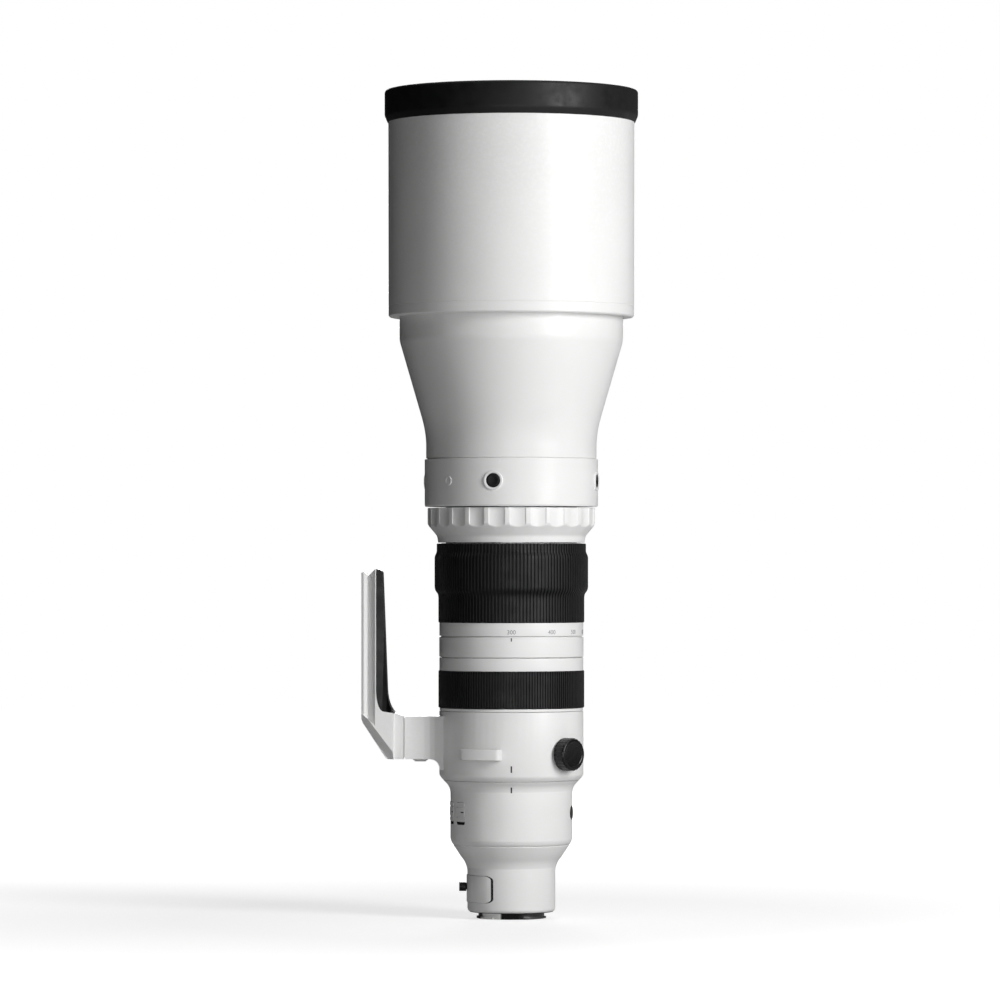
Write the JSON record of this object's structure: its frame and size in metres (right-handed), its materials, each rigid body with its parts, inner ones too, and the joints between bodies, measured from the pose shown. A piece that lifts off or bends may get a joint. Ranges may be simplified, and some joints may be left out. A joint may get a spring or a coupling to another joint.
{
  "type": "camera zoom lens",
  "caption": "Long white zoom lens with deep hood, ribbed zoom and focus rings, scalloped function ring, turning tripod collar with L-shaped dovetail foot and drop-in rear filter.",
  "frame": {"origin": "centre of the camera mount's flange face, on the optical axis", "axes": "+Z along the optical axis towards the subject; the tripod foot points to -X; -Y is the side with the index lines"},
  "size_m": [0.2065, 0.1975, 0.6183],
  "materials": {
    "white_paint": "satin",
    "hood_white": "satin",
    "switch_white": "satin",
    "rubber": "matte",
    "knob_black": "satin",
    "black_metal": "anodised, matte",
    "mount_metal": "polished",
    "contact_block": "matte, gilded contacts",
    "alloy": "machined",
    "brass": "machined",
    "circuit": "solder mask",
    "glass": "coated"
  },
  "bodies": {
    "barrel": {"mount_plate": "mount_metal", "mount_screws": "mount_metal", "mount_seal": "rubber", "contact_block": "contact_block", "rear_casing": "white_paint", "rear_cell": "black_metal", "rear_elements": "glass", "body_casing": "white_paint", "main_tube": "alloy", "circuit_boards": "circuit", "thin_ring": "white_paint", "index_ring": "white_paint", "guide_tube": "alloy", "control_band": "white_paint", "band_trims": "white_paint", "front_barrel": "white_paint", "front_cell": "black_metal", "front_elements": "glass", "front_ring": "black_metal", "focus_unit": "alloy", "iris_unit": "black_metal", "stabiliser_frame": "alloy"},
    "filter": {"filter_holder": "white_paint", "filter_glass": "glass"},
    "filter_lock": {"filter_lock_knob": "knob_black"},
    "function_button": {"custom_button": "knob_black"},
    "focus_ring": {"focus_ring": "white_paint", "focus_grip": "rubber"},
    "zoom_ring": {"zoom_ring": "white_paint", "zoom_grip": "rubber", "cam_tube": "alloy"},
    "zoom_group_a": {"zoom_carrier_a": "black_metal", "zoom_lens_a": "glass"},
    "zoom_group_b": {"zoom_carrier_b": "black_metal", "zoom_lens_b": "glass"},
    "function_ring": {"function_ring": "white_paint"},
    "hood": {"hood_base": "white_paint", "hood_shell": "hood_white", "hood_bumper": "rubber"},
    "hood_screw": {"hood_lock_screw": "knob_black"},
    "collar": {"collar_ring": "white_paint", "collar_fittings": "white_paint", "foot": "white_paint", "foot_pad": "rubber", "foot_screws": "mount_metal"},
    "collar_knob": {"collar_knob": "knob_black"},
    "focus_group": {"focus_carrier": "black_metal", "focus_lens": "glass"},
    "iris_ring": {"iris_ring": "alloy"},
    "stabiliser_slide": {"stabiliser_slide": "brass"},
    "stabiliser_lens": {"stabiliser_holder": "black_metal", "stabiliser_lens": "glass"},
    "switch_1": {"switch_slider_1": "switch_white"},
    "switch_2": {"switch_slider_2": "switch_white"},
    "switch_3": {"switch_slider_3": "switch_white"},
    "switch_4": {"switch_slider_4": "switch_white"},
    "afl_1": {"afl_button_1": "knob_black"},
    "afl_2": {"afl_button_2": "knob_black"},
    "afl_3": {"afl_button_3": "knob_black"},
    "afl_4": {"afl_button_4": "knob_black"}
  },
  "joints": [
    {"name": "zoom_turn", "type": "hinge", "parent": "barrel", "child": "zoom_ring", "pos_m": [0, 0, 0.245], "axis": [0, 0, -1], "range_deg": [0, 80.4]},
    {"name": "zoom_a_travel", "type": "slide", "parent": "barrel", "child": "zoom_group_a", "axis": [0, 0, 1], "range_m": [0, 0.038]},
    {"name": "zoom_b_travel", "type": "slide", "parent": "barrel", "child": "zoom_group_b", "axis": [0, 0, -1], "range_m": [0, 0.018]},
    {"name": "focus_turn", "type": "hinge", "parent": "barrel", "child": "focus_ring", "pos_m": [0, 0, 0.17], "axis": [0, 0, 1], "continuous": true},
    {"name": "function_turn", "type": "hinge", "parent": "barrel", "child": "function_ring", "pos_m": [0, 0, 0.29], "axis": [0, 0, 1], "range_deg": [-12, 12], "stiffness_Nm_per_rad": 0.6},
    {"name": "focus_group_travel", "type": "slide", "parent": "barrel", "child": "focus_group", "axis": [0, 0, 1], "range_m": [-0.006, 0.006]},
    {"name": "iris_turn", "type": "hinge", "parent": "barrel", "child": "iris_ring", "pos_m": [0, 0, 0.116], "axis": [0, 0, 1], "range_deg": [0, 35]},
    {"name": "stabiliser_x", "type": "slide", "parent": "barrel", "child": "stabiliser_slide", "axis": [1, 0, 0], "range_m": [-0.001, 0.001]},
    {"name": "stabiliser_y", "type": "slide", "parent": "stabiliser_slide", "child": "stabiliser_lens", "axis": [0, 1, 0], "range_m": [-0.001, 0.001]},
    {"name": "collar_turn", "type": "hinge", "parent": "barrel", "child": "collar", "pos_m": [0, 0, 0.124], "axis": [0, 0, 1], "continuous": true},
    {"name": "collar_knob_turn", "type": "hinge", "parent": "collar", "child": "collar_knob", "pos_m": [0.04243, -0.04027, 0.1186], "axis": [0.7254, -0.6884, 0], "range_deg": [0, 360]},
    {"name": "filter_slide", "type": "slide", "parent": "barrel", "child": "filter", "axis": [-1, 0, 0], "range_m": [0, 0.066]},
    {"name": "filter_lock_turn", "type": "hinge", "parent": "filter", "child": "filter_lock", "pos_m": [-0.036, 0, 0.0187], "axis": [-1, 0, 0], "range_deg": [0, 90]},
    {"name": "hood_slide", "type": "slide", "parent": "barrel", "child": "hood", "axis": [0, 0, 1], "range_m": [0, 0.03]},
    {"name": "hood_screw_turn", "type": "hinge", "parent": "hood", "child": "hood_screw", "pos_m": [0, 0.0975, 0.4631], "axis": [0, 1, 0], "range_deg": [0, 720]},
    {"name": "function_button_press", "type": "slide", "parent": "barrel", "child": "function_button", "axis": [-0.9848, 0.1736, 0], "range_m": [0, 0.0008], "stiffness_N_per_m": 800, "springref_m": -0.0008},
    {"name": "switch_1_slide", "type": "slide", "parent": "barrel", "child": "switch_1", "axis": [0, 0, -1], "range_m": [0, 0.0019]},
    {"name": "switch_2_slide", "type": "slide", "parent": "barrel", "child": "switch_2", "axis": [0, 0, -1], "range_m": [0, 0.0019]},
    {"name": "switch_3_slide", "type": "slide", "parent": "barrel", "child": "switch_3", "axis": [0, 0, -1], "range_m": [0, 0.0019]},
    {"name": "switch_4_slide", "type": "slide", "parent": "barrel", "child": "switch_4", "axis": [0, 0, -1], "range_m": [0, 0.0019]},
    {"name": "afl_1_press", "type": "slide", "parent": "barrel", "child": "afl_1", "axis": [0.2079, 0.9781, 0], "range_m": [0, 0.0008], "stiffness_N_per_m": 800, "springref_m": -0.0008},
    {"name": "afl_2_press", "type": "slide", "parent": "barrel", "child": "afl_2", "axis": [-0.9781, 0.2079, 0], "range_m": [0, 0.0008], "stiffness_N_per_m": 800, "springref_m": -0.0008},
    {"name": "afl_3_press", "type": "slide", "parent": "barrel", "child": "afl_3", "axis": [-0.2079, -0.9781, 0], "range_m": [0, 0.0008], "stiffness_N_per_m": 800, "springref_m": -0.0008},
    {"name": "afl_4_press", "type": "slide", "parent": "barrel", "child": "afl_4", "axis": [0.9781, -0.2079, 0], "range_m": [0, 0.0008], "stiffness_N_per_m": 800, "springref_m": -0.0008}
  ],
  "couplings": [
    {"joint": "zoom_a_travel", "follows": "zoom_turn", "m_per_rad": 0.02708},
    {"joint": "zoom_b_travel", "follows": "zoom_turn", "m_per_rad": 0.012827}
  ]
}
